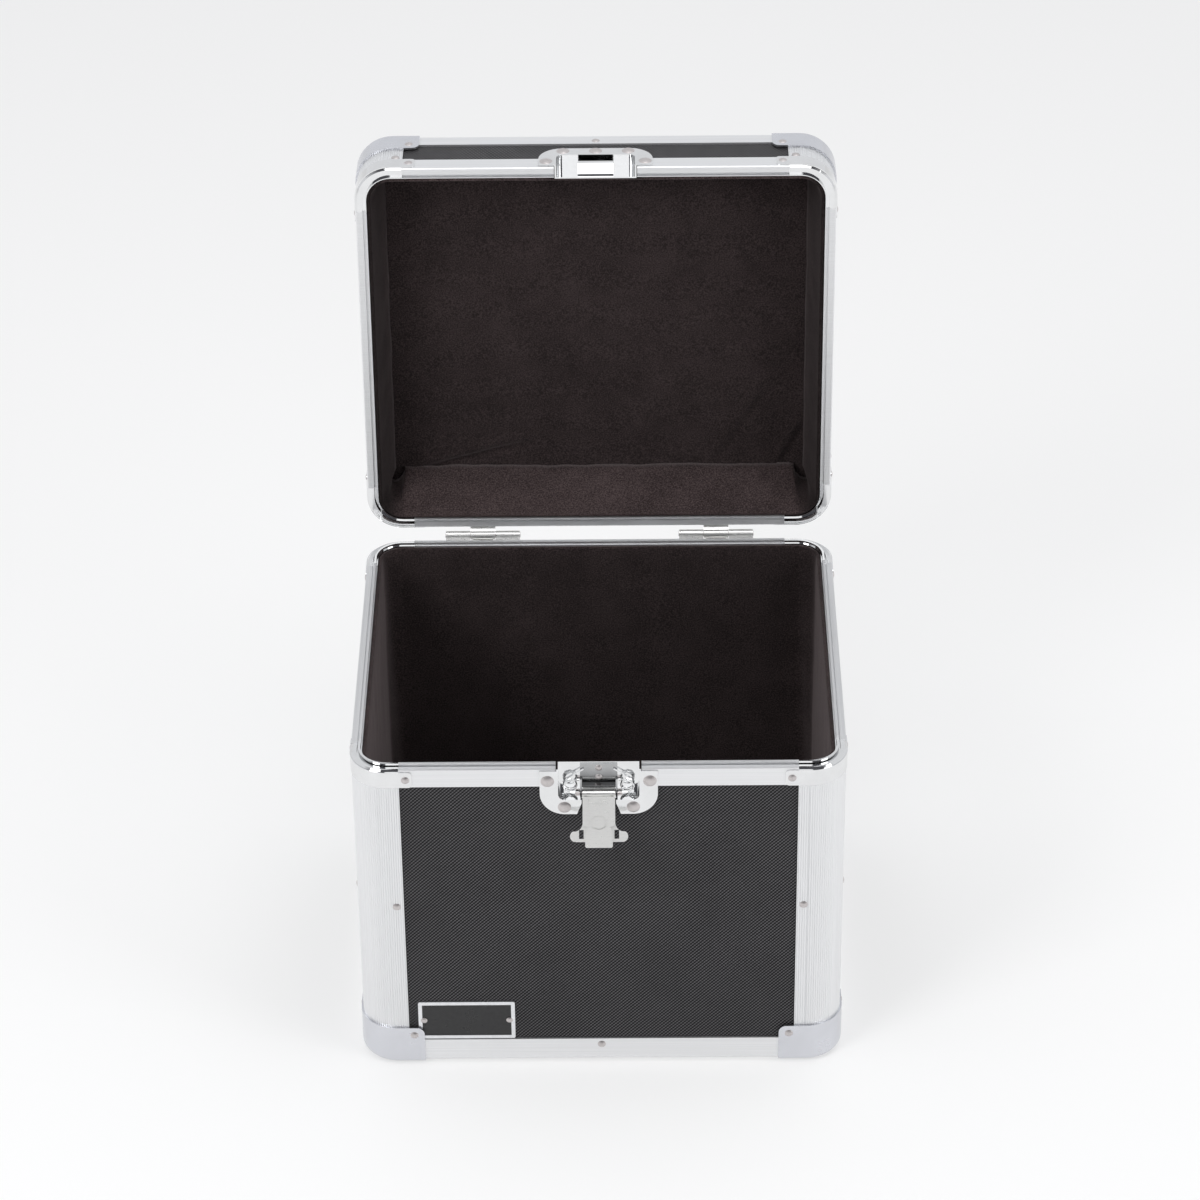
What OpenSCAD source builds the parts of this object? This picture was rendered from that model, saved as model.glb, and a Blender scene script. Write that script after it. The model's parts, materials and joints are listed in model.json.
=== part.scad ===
// Record carrying case: a riveted box of boards and aluminium extrusions with a hinged lid,
// a recessed butterfly draw latch, stop hinges and a drop handle on the lid.
// Origin: middle of the footprint of the body, on the surface it stands on. +X right, +Y back, +Z up.
// The lid is drawn open and the latch arm hanging, as the case stands when it is in use.

/* [Case] */
// Outside width over the aluminium
body_w = 375; // [330:1:460]
// Outside depth over the aluminium
body_d = 322; // [240:1:420]
// Height of the body from the floor to the parting line
body_h = 282.5; // [200:0.5:360]
// Height of the lid above the parting line
lid_h = 63; // [60:1:120]
// Angle at which the stop hinges hold the lid open
lid_open = 92; // [80:1:100]
// Gap left between body and lid at the parting line
parting_gap = 0.3; // [0.2:0.1:1]

/* [Boards and lining] */
// Thickness of the laminated boards
board_t = 7; // [5:0.5:12]
// Thickness of the padded lining
lining_t = 3; // [2:0.5:6]
// Air left between the lining and the boards
lining_gap = 0.2; // [0.1:0.1:0.5]

/* [Aluminium extrusions] */
// Wall thickness of the extrusions
skin = 1.5; // [1:0.1:2.5]
// Outside radius of the upright corners
corner_r = 28; // [22:1:34]
// Width of each flange of an upright corner, from the corner line
post_flange = 37; // [35:1:60]
// Length of the inner strip of an upright corner past its bend
post_core_past = 0.5; // [0.5:0.5:4]
// Distance between the grooves of the fluted corners
flute_pitch = 1.8; // [1.2:0.1:4]
// Depth of the grooves of the fluted corners
flute_depth = 0.35; // [0.2:0.05:0.6]
// Width of each flange of the edge extrusions
edge_flange = 22; // [14:0.5:30]
// Width of the flanges of the top extrusions of the lid
lid_edge_flange = 18; // [14:0.5:22]
// Outside radius of the edge extrusions
edge_r = 6; // [4:0.5:10]

/* [Rims] */
// Height of the outer flange of the body rim
rim_flange = 15.5; // [12:0.5:30]
// Height of the outer flange of the lid rim
lid_rim_flange = 16; // [12:0.5:24]
// Thickness of the cap of the body rim
rim_cap = 3; // [2.8:0.1:6]
// Thickness of the cap of the lid rim
lid_rim_cap = 5.2; // [4.8:0.1:8]
// Distance from the outer face to the groove beside the tongue
tongue_groove_at = 4.6; // [3:0.1:5]
// Width of that groove
tongue_groove_w = 1.15; // [0.6:0.05:1.4]
// Depth of that groove
tongue_groove_d = 2; // [1:0.1:2.5]
// Thickness of the tongue
tongue_t = 1.7; // [1.2:0.1:2]
// Height of the tongue above the parting line
tongue_h = 2.4; // [2:0.1:4]
// Clearance round the tongue in the lid
tongue_clear = 0.4; // [0.3:0.05:0.6]

/* [Corner pieces] */
// Sheet thickness of the ball corners
ball_t = 1.5; // [1:0.1:2.5]
// Height of the ball corners
ball_h = 36; // [30:0.5:42]
// Height of the ball corners of the lid
lid_ball_h = 28; // [26:0.5:34]
// Length of each arm of a ball corner, from the corner line
ball_leg = 49; // [47:0.5:62]
// Radius of the free corners of the ball corner arms
ball_tab_r = 6; // [3:0.5:10]
// Sheet thickness of the rim corners
bend_t = 0.8; // [0.5:0.1:1.5]
// Length of each arm of a rim corner, from the corner line
bend_leg = 47; // [46:0.5:60]
// Distance from the parting line to the skirt of a rim corner
bend_drop = 1.6; // [1.4:0.1:2.4]
// Radius of the free corners of the rim corner arms
bend_tab_r = 3; // [1:0.5:5]

/* [Rivets] */
// Radius of a small rivet head
rivet_r = 3.2; // [2.4:0.1:4.5]
// Height of a small rivet head
rivet_h = 1.1; // [0.6:0.1:2]
// Radius of the rivet shanks
shank_r = 1.6; // [1.2:0.1:2]
// Clearance of a shank in its hole
shank_clear = 0.05; // [0.02:0.01:0.1]
// Distance from the corner line to the rivets of the ball corners
ball_rivet_at = 41; // [40:0.5:56]
// Distance from the corner line to the rivets of the rim corners
bend_rivet_at = 42; // [41:0.5:56]
// Distance from the corner line to the rivets of the upright corners
post_rivet_at = 31.5; // [30.5:0.5:34]

/* [Name plate] */
// Width of the bare name plate
plate_w = 75.5; // [50:0.5:110]
// Height of the bare name plate
plate_h = 36; // [20:0.5:60]
// Thickness of the plate
plate_t = 1.2; // [0.8:0.1:2]
// Radius of its corners
plate_r = 1.6; // [0.5:0.1:4]
// Distance from its sides to its rivets
plate_rivet_in = 4.3; // [4:0.1:8]
// Width of its raised frame
plate_frame = 3; // [1:0.1:5]
// Distance from the left side of the body to the plate
plate_x = 44.5; // [44:0.5:90]
// Gap between the plate and the bottom extrusion
plate_gap = 0.8; // [0.3:0.1:5]

/* [Latch dishes] */
// Width of the flange of both dishes
dish_w = 89; // [82:0.5:120]
// Length of the flange on the body, from the parting line
dish_h = 40.5; // [40:0.5:60]
// Length of the flange on the lid, from the parting line
lid_dish_h = 32.5; // [32:0.5:40]
// Radius of the outer corners of the flanges
dish_r = 19; // [10:0.5:22]
// Sheet thickness of the dishes
dish_t = 1.2; // [0.8:0.1:2]
// Outside width of the pockets
pocket_w = 63.6; // [60:0.2:70]
// Depth of the pocket below the parting line
pocket_h = 28.5; // [28:0.5:31]
// Height of the pocket above the parting line
lid_pocket_h = 22; // [22:0.5:24]
// Depth of both pockets from the outer face
pocket_d = 8.8; // [8.6:0.1:9.5]
// Radius of the inner corners of the pockets
pocket_r = 6; // [3:0.5:10]
// Distance from the parting line to the top edge of the dish flanges
dish_top = 1; // [0.5:0.5:6]
// Distance from the parting line to the flange on the lid
lid_dish_top = 3; // [1:0.5:6]
// Height of the pocket walls of the body above the parting line
pocket_rise = 1; // [0.2:0.1:1.6]
// Width of the notch under the arm at the pocket
notch_w = 26; // [25.5:0.5:30]
// Width of the notch under the arm at the edge of the flange
notch_end_w = 34; // [30:0.5:40]
// Radius of the large rivet heads
big_rivet_r = 5.1; // [4:0.1:6]
// Height of the large rivet heads
big_rivet_h = 1.6; // [1:0.1:3]

/* [Latch arm] */
// Distance from the parting line down to the hinge rod
rod_drop = 21; // [20.5:0.5:22]
// Distance of the hinge rod in front of the outer face
rod_out = 1.8; // [1.7:0.1:2.5]
// Radius of the hinge rod
rod_r = 1.5; // [1.2:0.1:1.6]
// Running clearance round the hinge rod
rod_clear = 0.06; // [0.02:0.01:0.1]
// Outside radius of the rolled eyes
eye_r = 2.5; // [2.2:0.1:2.6]
// Angle between the hanging arm and the upright
arm_tilt = 38; // [36:1:42]
// Width of the arm
arm_w = 24.5; // [22:0.1:25]
// Sheet thickness of arm, hook plate and catch
latch_t = 1.4; // [1:0.1:1.6]
// Width of the two rails of the arm that hold the hook plate
rail_w = 4; // [3:0.1:4.2]
// Distance from the rod to the end of the rails
arm_len = 25; // [24.5:0.5:27]
// Clearance between sliding or turning latch plates
slide_gap = 0.2; // [0.15:0.05:0.3]
// Distance from the rod to the cam
cam_at = 20.9; // [20.6:0.1:21.6]
// Radius of the cam
cam_r = 4.6; // [4:0.1:5]
// Eccentricity of the cam
cam_e = 1.3; // [1:0.1:1.4]
// Play of the cam in the slot of the hook plate
cam_play = 0.4; // [0.35:0.05:0.6]
// Distance from the rod to the outer face of the hook
hook_len = 41; // [40:0.1:41.2]
// Depth of the hook from the arm plate
hook_d = 5.4; // [5:0.1:5.8]
// Length of the turned-in end of the hook
hook_return = 4.9; // [4:0.1:5.5]
// Half span of the butterfly wings
wing_x = 21.9; // [18:0.1:24]
// Nearest distance of the wings from the cam, along the arm
wing_near = 2; // [1.8:0.1:3]
// Furthest distance of the wings from the cam, along the arm
wing_far = 15.5; // [12:0.5:18]
// Thickness of the butterfly
wing_t = 1.1; // [0.8:0.1:1.2]
// Distance of the butterfly from the middle of the arm plate
wing_off = 2.9; // [2.8:0.1:3]

/* [Latch springs] */
// Wire diameter of the torsion springs
wire_d = 1.4; // [1:0.1:1.6]
// Mean radius of the spring coils
coil_r = 5; // [4:0.1:5.4]
// Distance of the coils from the middle of the latch
coil_x = 21.7; // [21:0.1:22]
// Distance from the parting line to the middle of the coils
coil_drop = 16.5; // [16:0.1:18]
// Full turns of each coil
coil_turns = 2; // [1:1:2]

/* [Hinges] */
// Distance of the hinge pin behind the back face
hinge_off = 7.5; // [6.5:0.5:12]
// Distance from the middle of the case to each hinge
hinge_x = 95; // [60:1:120]
// Width of a hinge
hinge_w = 60; // [46:1:80]
// Thickness of the hinge leaves
leaf_t = 1.6; // [1.2:0.1:2.5]
// Length of the leaves from the parting line
leaf_h = 38; // [34:1:42]
// Outside radius of the hinge knuckles
knuckle_r = 3.6; // [3.2:0.1:4.2]
// Radius of the hinge pins
pin_r = 2; // [1.6:0.1:2.4]
// Gap between neighbouring knuckles
knuckle_gap = 0.4; // [0.3:0.1:1]

/* [Handle] */
// Distance from the middle of the lid to each handle bracket
handle_x = 62; // [50:1:90]
// Distance from the pivot to the middle of the grip
handle_reach = 36; // [30:1:60]
// Height of the pivot above the lid board
pivot_h = 12; // [11:0.5:18]
// Radius of the grip
grip_r = 10.5; // [8:0.5:10.5]
// Radius of the handle pivots
pivot_r = 3; // [2:0.1:4]
// Width of the handle arms
handle_arm_w = 12; // [9:0.5:14]
// Thickness of the handle arms
handle_arm_t = 4; // [3:0.5:6]

/* [Hidden] */
$fn = 48;
round_fn = 96;
wall_names = ["front", "right", "back", "left"];
board_out = skin;
post_core = corner_r + post_core_past;
board_in = skin + board_t;
end_skin = ball_t;
board_z = end_skin + skin;
board_top = board_z + board_t;
lid_tray = lid_h - parting_gap;
tongue_at = tongue_groove_at + tongue_groove_w;
bore_r = shank_r + shank_clear;
front_y = -body_d / 2;
hinge_y = body_d / 2 + hinge_off;
rod_y = front_y - rod_out;
rod_z = body_h - rod_drop;
arm_turn = 180 - arm_tilt;
edge_top = end_skin + edge_flange;
lid_edge_top = end_skin + lid_edge_flange;
ball_rivet_in = 7;
edge_rivet_in = 5.5;
post_rivet_z = (ball_h + body_h - rim_flange) / 2 + 2.5;
lid_post_rivet_z = lid_tray - lid_rim_flange - 4.5;
rim_rivet_w = (bend_drop + rim_flange) / 2;
lid_rim_rivet_w = (bend_drop + lid_rim_flange) / 2 + 0.5;
dish_side_x = dish_w / 2 - 5.9;
dish_side_w = 10;
dish_low_x = dish_w / 2 - 18.5;
dish_low_w = pocket_h + 5.5;
lid_dish_top_x = dish_w / 2 - 19;
lid_dish_top_w = lid_pocket_h + 5.4;
lid_dish_side_w = 9;
pocket_clear = 0.5;
hook_gap = latch_t / 2 + slide_gap;
catch_at = hook_gap + latch_t + 0.6;
catch_top = hook_len - hook_return - 0.7;
catch_w = 27.6;
base_w = 28.2;
base_cheek_t = 1.35;
base_bend = 18;
base_top = 0.5;
base_lip = 4.2;
base_rivet_1 = 3.8;
base_rivet_2 = 12.4;
rail_at = 3.4;
rail_y = hook_gap + latch_t + slide_gap;
rail_t = 1.2;
chrome = [0.78, 0.79, 0.81];
silver = [0.84, 0.85, 0.87];
zinc = [0.74, 0.75, 0.76];
laminate = [0.09, 0.09, 0.1];
velvet = [0.13, 0.11, 0.11];

// Length and half distance of wall i, counted front, right, back, left
function wall_len(i) = i % 2 == 0 ? body_w : body_d;
function wall_off(i) = i % 2 == 0 ? body_d / 2 : body_w / 2;

// Children drawn with x along the wall, y inwards from its outer face and z up
module on_wall(i) {
  rotate([0, 0, 90 * i]) translate([0, -wall_off(i), 0]) children();
}

// Children drawn with the corner line at the origin and the walls along +x and +y
module at_corner(i) {
  x = (i == 0 || i == 3) ? -body_w / 2 : body_w / 2;
  y = i < 2 ? -body_d / 2 : body_d / 2;
  translate([x, y, 0]) rotate([0, 0, 90 * i]) children();
}

// The lid closed on the body, upside down over the same tray as the body
module lid_closed() {
  translate([0, 0, body_h + lid_h]) mirror([0, 0, 1]) children();
}

// Turns what is drawn on the closed case with the lid to its open place
module opened() {
  translate([0, hinge_y, body_h])
    rotate([-lid_open, 0, 0])
      translate([0, -hinge_y, -body_h]) children();
}

module lid() {
  opened() lid_closed() children();
}

// Hanging place of what is drawn on the raised arm: x across, y inwards, z from the rod to the hook
module hanging() {
  translate([0, rod_y, rod_z]) rotate([arm_turn, 0, 0]) children();
}

// A strip of thickness t that bends round a corner of outside radius r, with two legs
module bent_strip(r, t, leg) {
  intersection() {
    translate([r, r]) difference() {
      circle(r, $fn = round_fn);
      circle(r - t, $fn = round_fn);
    }
    square(r);
  }
  translate([r, 0]) square([leg - r, t]);
  translate([0, r]) square([t, leg - r]);
}

module rounded_rect(w, d, r) {
  square([w - 2 * r, d], center = true);
  square([w, d - 2 * r], center = true);
  for (sx = [-1, 1], sy = [-1, 1])
    translate([sx * (w / 2 - r), sy * (d / 2 - r)]) circle(r, $fn = round_fn);
}

// Extrudes a profile given as [depth from the outer face, height] along wall i
module along_wall(len) {
  rotate([90, 0, 90]) translate([0, 0, -len / 2]) linear_extrude(len) children();
}

// Rivets
// Each rivet lies along y: head in front of y = 0, shank behind it
module rivet(r, h, len) {
  sphere_r = (r * r + h * h) / (2 * h);
  intersection() {
    translate([0, sphere_r - h, 0]) rotate([90, 0, 0]) sphere(sphere_r, $fn = round_fn);
    rotate([90, 0, 0]) cylinder(r = r + 1, h = h + 1);
  }
  translate([0, -h / 2, 0]) rotate([-90, 0, 0]) cylinder(r = shank_r, h = len + h / 2);
}

module shank_bore(len = 40) {
  translate([0, -len / 2, 0]) rotate([-90, 0, 0]) cylinder(r = bore_r, h = len);
}

// Rivet places of a tray of height h on wall i: [along the wall, height, head offset from the outer face]
function tray_rivets(i, ball_z, post_z, rim_z, edge_z) = [
  for (s = [-1, 1]) [s * (wall_len(i) / 2 - ball_rivet_at), ball_z, ball_t],
  for (s = [-1, 1]) [s * (wall_len(i) / 2 - post_rivet_at), post_z, 0],
  for (s = [-1, 1]) [s * (wall_len(i) / 2 - bend_rivet_at), rim_z, bend_t],
  [0, edge_z, 0]
];
function body_rivet_list(i) = tray_rivets(
  i, ball_h - ball_rivet_in, post_rivet_z, body_h - rim_rivet_w, edge_top - edge_rivet_in);
function lid_rivet_list(i) = tray_rivets(
  i, lid_ball_h - ball_rivet_in, lid_post_rivet_z, lid_tray - lid_rim_rivet_w, lid_edge_top - edge_rivet_in);

module wall_rivets(i, places) {
  on_wall(i) for (p = places)
    translate([p[0], -p[2], p[1]]) rivet(rivet_r, rivet_h, board_in + p[2] - lining_gap);
}

module wall_bores(i, places) {
  on_wall(i) for (p = places) translate([p[0], 0, p[1]]) shank_bore();
}

// Tray parts, used for the body and, upside down, for the lid
module end_board() {
  translate([0, 0, end_skin + edge_r])
    linear_extrude(board_top - end_skin - edge_r)
      rounded_rect(body_w - 2 * board_out, body_d - 2 * board_out, corner_r - board_out);
  translate([0, 0, board_z])
    linear_extrude(end_skin + edge_r - board_z)
      rounded_rect(body_w - 2 * edge_r, body_d - 2 * edge_r, corner_r - edge_r);
}

module wall_board(i, h, cap, places) {
  difference() {
    on_wall(i)
      translate([-wall_len(i) / 2 + post_core, board_out, board_top])
        cube([wall_len(i) - 2 * post_core, board_t, h - cap - board_top]);
    wall_bores(i, places);
  }
}

module post_profile() {
  arc_step = flute_pitch / corner_r * 180 / PI;
  groove = flute_depth * sqrt(2);
  difference() {
    union() {
      bent_strip(corner_r, skin, post_flange);
      intersection() {
        translate([board_in - skin, board_in - skin])
          bent_strip(corner_r - board_in + skin, skin, corner_r);
        square(post_core);
      }
      translate([post_core - skin, skin / 2]) square([skin, board_in - skin]);
      translate([skin / 2, post_core - skin]) square([board_in - skin, skin]);
    }
    for (x = [corner_r + flute_pitch / 2 : flute_pitch : post_flange - flute_pitch / 2]) {
      translate([x, 0]) rotate(45) square(groove, center = true);
      translate([0, x]) rotate(45) square(groove, center = true);
    }
    for (a = [180 : arc_step : 270])
      translate([corner_r, corner_r]) rotate(a) translate([corner_r, 0])
        rotate(45) square(groove, center = true);
  }
}

module post(i, h, cap, places_a, places_b) {
  difference() {
    at_corner(i)
      translate([0, 0, board_top]) linear_extrude(h - cap - board_top) post_profile();
    wall_bores(i, places_b);
    wall_bores((i + 3) % 4, places_a);
  }
}

module edge(i, flange, places) {
  difference() {
    on_wall(i)
      translate([0, 0, end_skin])
        along_wall(wall_len(i) - 2 * post_flange) bent_strip(edge_r, skin, flange);
    wall_bores(i, places);
  }
}

module ball_tab(h) {
  square([ball_leg - ball_tab_r, h]);
  square([ball_leg, h - ball_tab_r]);
  translate([ball_leg - ball_tab_r, h - ball_tab_r]) circle(ball_tab_r);
}

module ball_section(h) {
  r = edge_r + ball_t;
  intersection() {
    translate([0, 0]) bent_strip(r, ball_t, 200);
    square([corner_r + ball_t, h]);
  }
}

module ball_corner(i, h, places_a, places_b) {
  out_r = corner_r + ball_t;
  difference() {
    at_corner(i) translate([-ball_t, -ball_t, 0]) {
      translate([out_r, out_r, 0]) rotate([0, 0, 180]) rotate_extrude(angle = 90, $fn = round_fn)
        intersection() {
          translate([out_r, 0]) mirror([1, 0]) ball_section(h);
          square([out_r, h]);
        }
      for (m = [0, 1]) mirror([m, -m, 0])
        intersection() {
          translate([out_r, 0, 0])
            rotate([90, 0, 90]) linear_extrude(ball_leg + ball_t - out_r) ball_section(h);
          translate([ball_t, 60, 0]) rotate([90, 0, 0]) linear_extrude(120) ball_tab(h);
        }
    }
    wall_bores(i, places_b);
    wall_bores((i + 3) % 4, places_a);
  }
}

// Rims
module body_rim_profile(flange) {
  polygon([
    [0, -flange],
    [skin, -flange],
    [skin, -rim_cap],
    [board_in, -rim_cap],
    [board_in, 0],
    [tongue_at + tongue_t, 0],
    [tongue_at + tongue_t, tongue_h],
    [tongue_at, tongue_h],
    [tongue_at, -tongue_groove_d],
    [tongue_groove_at, -tongue_groove_d],
    [tongue_groove_at, 0],
    [0, 0]
  ]);
}

module body_bend_profile() {
  polygon([
    [0, -rim_cap],
    [board_in, -rim_cap],
    [board_in, 0],
    [tongue_at + tongue_t, 0],
    [tongue_at + tongue_t, tongue_h],
    [tongue_at, tongue_h],
    [tongue_at, -tongue_groove_d],
    [tongue_groove_at, -tongue_groove_d],
    [tongue_groove_at, 0],
    [1.2, 0],
    [0, -1.2]
  ]);
}

module lid_rim_profile(flange, chamfer) {
  slot_a = tongue_at - tongue_clear;
  slot_b = tongue_at + tongue_t + tongue_clear;
  slot_d = tongue_h + tongue_clear;
  polygon([
    [0, -flange],
    [skin, -flange],
    [skin, -lid_rim_cap],
    [board_in, -lid_rim_cap],
    [board_in, 0],
    [slot_b, 0],
    [slot_b, -slot_d],
    [slot_a, -slot_d],
    [slot_a, 0],
    [chamfer, 0],
    [0, -chamfer]
  ]);
}

module lid_bend_profile() {
  slot_a = tongue_at - tongue_clear;
  slot_b = tongue_at + tongue_t + tongue_clear;
  slot_d = tongue_h + tongue_clear;
  polygon([
    [0, -lid_rim_cap],
    [board_in, -lid_rim_cap],
    [board_in, 0],
    [slot_b, 0],
    [slot_b, -slot_d],
    [slot_a, -slot_d],
    [slot_a, 0],
    [1.2, 0],
    [0, -1.2]
  ]);
}

module straight_rim(i, h, places) {
  difference() {
    on_wall(i)
      translate([0, 0, h]) along_wall(wall_len(i) - 2 * post_flange) children();
    wall_bores(i, places);
  }
}

// Cap of a rim corner: a quarter turn and two short legs of the profile in children
module bend_cap(h) {
  translate([0, 0, h]) {
    translate([corner_r, corner_r, 0]) rotate([0, 0, 180]) rotate_extrude(angle = 90, $fn = round_fn)
      translate([corner_r, 0]) mirror([1, 0]) children();
    for (m = [0, 1]) mirror([m, -m, 0])
      translate([corner_r, 0, 0])
        rotate([90, 0, 90]) linear_extrude(post_flange - corner_r) children();
  }
}

module bend_tab(height) {
  square([bend_leg - bend_tab_r, height]);
  translate([0, bend_tab_r]) square([bend_leg, height - 2 * bend_tab_r]);
  for (z = [bend_tab_r, height - bend_tab_r]) translate([bend_leg - bend_tab_r, z]) circle(bend_tab_r);
}

module bend_skirt(h, flange) {
  height = flange - bend_drop;
  translate([0, 0, h - flange]) {
    translate([-bend_t, -bend_t, 0])
      linear_extrude(height) bent_strip(corner_r + bend_t, bend_t, corner_r + bend_t + 1);
    for (m = [0, 1]) mirror([m, -m, 0])
      translate([0, 0, 0])
        rotate([90, 0, 0]) linear_extrude(bend_t)
          intersection() {
            bend_tab(height);
            translate([corner_r, 0]) square([bend_leg, height]);
          }
  }
}

module rim_corner(i, h, flange, cap, places_a, places_b) {
  difference() {
    at_corner(i) {
      bend_cap(h) children();
      bend_skirt(h, flange);
      translate([-bend_t, -bend_t, h - cap])
        linear_extrude(cap - bend_drop)
          bent_strip(corner_r + bend_t, bend_t + 0.02, corner_r + bend_t + 1);
    }
    wall_bores(i, places_b);
    wall_bores((i + 3) % 4, places_a);
  }
}

// Lining
module lining_ring(z0, z1) {
  w = body_w - 2 * (board_in + lining_gap);
  d = body_d - 2 * (board_in + lining_gap);
  r = corner_r - board_in - lining_gap;
  translate([0, 0, z0]) linear_extrude(z1 - z0) difference() {
    rounded_rect(w, d, r);
    rounded_rect(w - 2 * lining_t, d - 2 * lining_t, r - lining_t);
  }
}

module lining_floor() {
  w = body_w - 2 * (board_in + lining_gap);
  d = body_d - 2 * (board_in + lining_gap);
  r = corner_r - board_in - lining_gap;
  translate([0, 0, board_top + lining_gap]) linear_extrude(lining_t) rounded_rect(w, d, r);
}

// Room for a latch pocket through boards, rim and lining: below the parting line by down
module pocket_room(h, down) {
  w = pocket_w + 2 * pocket_clear;
  translate([-w / 2, front_y - 5, h - down - pocket_clear])
    cube([w, 5 + pocket_d + dish_t + pocket_clear, down + pocket_clear + 10]);
}

// Latch dish: x across, y inwards from the outer face, z measured away from the parting line
module dish_outline(len, top) {
  intersection() {
    translate([-dish_w / 2, top]) square([dish_w, len - top]);
    union() {
      translate([-dish_w / 2, top]) square([dish_w, len - top - dish_r]);
      translate([-dish_w / 2 + dish_r, top]) square([dish_w - 2 * dish_r, len - top]);
      for (s = [-1, 1]) translate([s * (dish_w / 2 - dish_r), len - dish_r]) circle(dish_r);
    }
  }
}

module pocket_outline(len, inset) {
  w = pocket_w - 2 * inset;
  r = pocket_r - inset;
  translate([-w / 2, -5]) square([w, len - inset - r + 5]);
  translate([-w / 2 + r, -5]) square([w - 2 * r, len - inset + 5]);
  for (s = [-1, 1]) translate([s * (w / 2 - r), len - inset - r]) circle(r);
}

// Extrudes an outline of the dish plane from depth y0 to y1
module dish_layer(y0, y1) {
  translate([0, y1, 0]) rotate([90, 0, 0]) linear_extrude(y1 - y0) children();
}

// The flange starts top away from the parting line and the pocket walls reach rise past that line
module dish(len, top, pocket_len, flange, rise) {
  difference() {
    union() {
      dish_layer(-dish_t, 0) dish_outline(len, top);
      dish_layer(-0.01, skin) intersection() {
        dish_outline(len, top);
        translate([-dish_w / 2, flange + 0.3]) square([dish_w, len]);
      }
      difference() {
        dish_layer(-dish_t, pocket_d + dish_t) pocket_outline(pocket_len, 0);
        translate([-dish_w / 2, -20, -10]) cube([dish_w, 60, 10 - rise]);
      }
    }
    dish_layer(-dish_t - 1, pocket_d) pocket_outline(pocket_len, dish_t);
  }
}

// Latch parts are drawn on the raised arm and then hung
module along_x(len) {
  rotate([90, 0, 90]) translate([0, 0, -len / 2]) linear_extrude(len) children();
}

module eye_cut(len) {
  rotate([0, 90, 0]) cylinder(r = rod_r + rod_clear, h = len, center = true);
}

// Spring
coil_y0 = front_y - rod_out + rod_r + 0.3 + wire_d / 2;
coil_y1 = front_y + pocket_d - latch_t - 0.3 - wire_d / 2;
coil_end = 58;
coil_sweep = coil_end + 90 + 360 * coil_turns;
coil_steps = round(coil_sweep / 45);
lower_leg = 7;
upper_leg = 15.5;
function coil_point(k) =
  let (a = -90 + coil_sweep * k / coil_steps)
  [
    coil_x + coil_r * cos(a),
    coil_y0 + (coil_y1 - coil_y0) * k / coil_steps,
    body_h - coil_drop + coil_r * sin(a)
  ];
coil_points = [for (k = [0 : coil_steps]) coil_point(k)];
coil_out = coil_points[coil_steps];
spring_path = concat(
  [coil_points[0] - [lower_leg, 0, 0], coil_points[0] - [lower_leg - wire_d, 0, 0]],
  coil_points,
  [
    coil_out + (upper_leg - wire_d) * [-sin(coil_end), 0, cos(coil_end)],
    coil_out + upper_leg * [-sin(coil_end), 0, cos(coil_end)]
  ]
);
coil_gap = min([
  for (a = [0 : coil_steps], b = [0 : coil_steps])
    if (b - a > 4) norm(coil_points[a] - coil_points[b]) - wire_d
]);
echo("least gap between spring turns", coil_gap);

// Tube of round section swept along points that never run parallel to the y axis
module wire_tube(path, d) {
  sides = 6;
  count = len(path);
  dirs = [
    for (k = [0 : count - 1])
      let (v = path[min(k + 1, count - 1)] - path[max(k - 1, 0)]) v / norm(v)
  ];
  rings = [
    for (k = [0 : count - 1])
      let (
        side = cross([0, 1, 0], dirs[k]),
        u = side / norm(side),
        w = cross(dirs[k], u)
      )
      for (j = [0 : sides - 1]) path[k] + d / 2 * (cos(360 * j / sides) * u + sin(360 * j / sides) * w)
  ];
  walls = [
    for (k = [0 : count - 2], j = [0 : sides - 1])
      let (a = k * sides + j, b = k * sides + (j + 1) % sides)
      each [[a, b, b + sides], [a, b + sides, a + sides]]
  ];
  caps = [
    for (j = [1 : sides - 2])
      each [[0, j + 1, j], [(count - 1) * sides, (count - 1) * sides + j, (count - 1) * sides + j + 1]]
  ];
  polyhedron(points = rings, faces = concat(walls, caps));
}

// Body boards
module front_board() {
  color(laminate) difference() {
    wall_board(0, body_h, rim_cap, body_rivet_list(0));
    pocket_room(body_h, pocket_h);
    dish_bores();
    plate_bores();
  }
}

module right_board() {
  color(laminate) wall_board(1, body_h, rim_cap, body_rivet_list(1));
}

module back_board() {
  color(laminate) difference() {
    wall_board(2, body_h, rim_cap, body_rivet_list(2));
    leaf_bores(-1);
  }
}

module left_board() {
  color(laminate) wall_board(3, body_h, rim_cap, body_rivet_list(3));
}

module bottom_board() {
  color(laminate) end_board();
}

module body_post(i) {
  color(silver) post(i, body_h, rim_cap, body_rivet_list((i + 3) % 4), body_rivet_list(i));
}

module bottom_edge(i) {
  color(silver) edge(i, edge_flange, body_rivet_list(i));
}

module rim_front() {
  color(silver) difference() {
    straight_rim(0, body_h, body_rivet_list(0)) body_rim_profile(rim_flange);
    pocket_room(body_h, pocket_h);
    dish_bores();
  }
}

module rim_side(i) {
  color(silver) difference() {
    straight_rim(i, body_h, body_rivet_list(i)) body_rim_profile(rim_flange);
    leaf_bores(-1);
  }
}

module body_rim_corner(i) {
  color(chrome)
    rim_corner(i, body_h, rim_flange, rim_cap, body_rivet_list((i + 3) % 4), body_rivet_list(i))
      body_bend_profile();
}

module body_ball_corner(i) {
  color(silver) ball_corner(i, ball_h, body_rivet_list((i + 3) % 4), body_rivet_list(i));
}

module body_lining() {
  color(velvet) difference() {
    lining_ring(board_top + lining_t + 2 * lining_gap, body_h - 0.5);
    pocket_room(body_h, pocket_h);
  }
}

module floor_pad() {
  color(velvet) lining_floor();
}

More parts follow.
